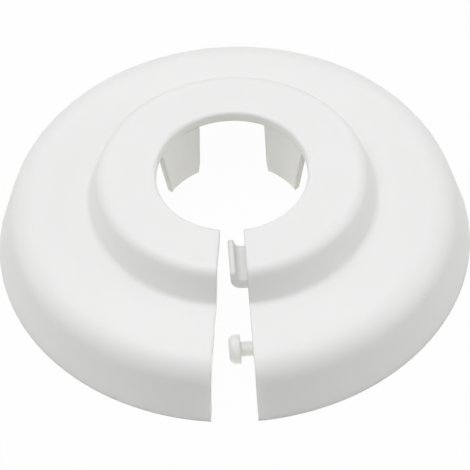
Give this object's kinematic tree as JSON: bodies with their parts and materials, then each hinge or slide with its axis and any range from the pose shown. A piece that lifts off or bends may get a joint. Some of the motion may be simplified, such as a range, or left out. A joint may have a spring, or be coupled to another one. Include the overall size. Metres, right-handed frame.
{
  "type": "radiator pipe collar",
  "caption": "Split, stepped rosette in white plastic that clips round a radiator pipe and covers the hole it comes out of, with a snap closure at the slit.",
  "frame": {"origin": "on the pipe's axis, in the plane of the rim that stands on the wall or floor", "axes": "+Z along the pipe, from the wall or floor into the room; -Y from the axis out through the slit; +X towards the end with the hook and the stud"},
  "size_m": [0.05, 0.0499, 0.0104],
  "materials": {
    "white_polypropylene": "satin"
  },
  "bodies": {
    "root": {"collar": "white_polypropylene"}
  },
  "joints": []
}
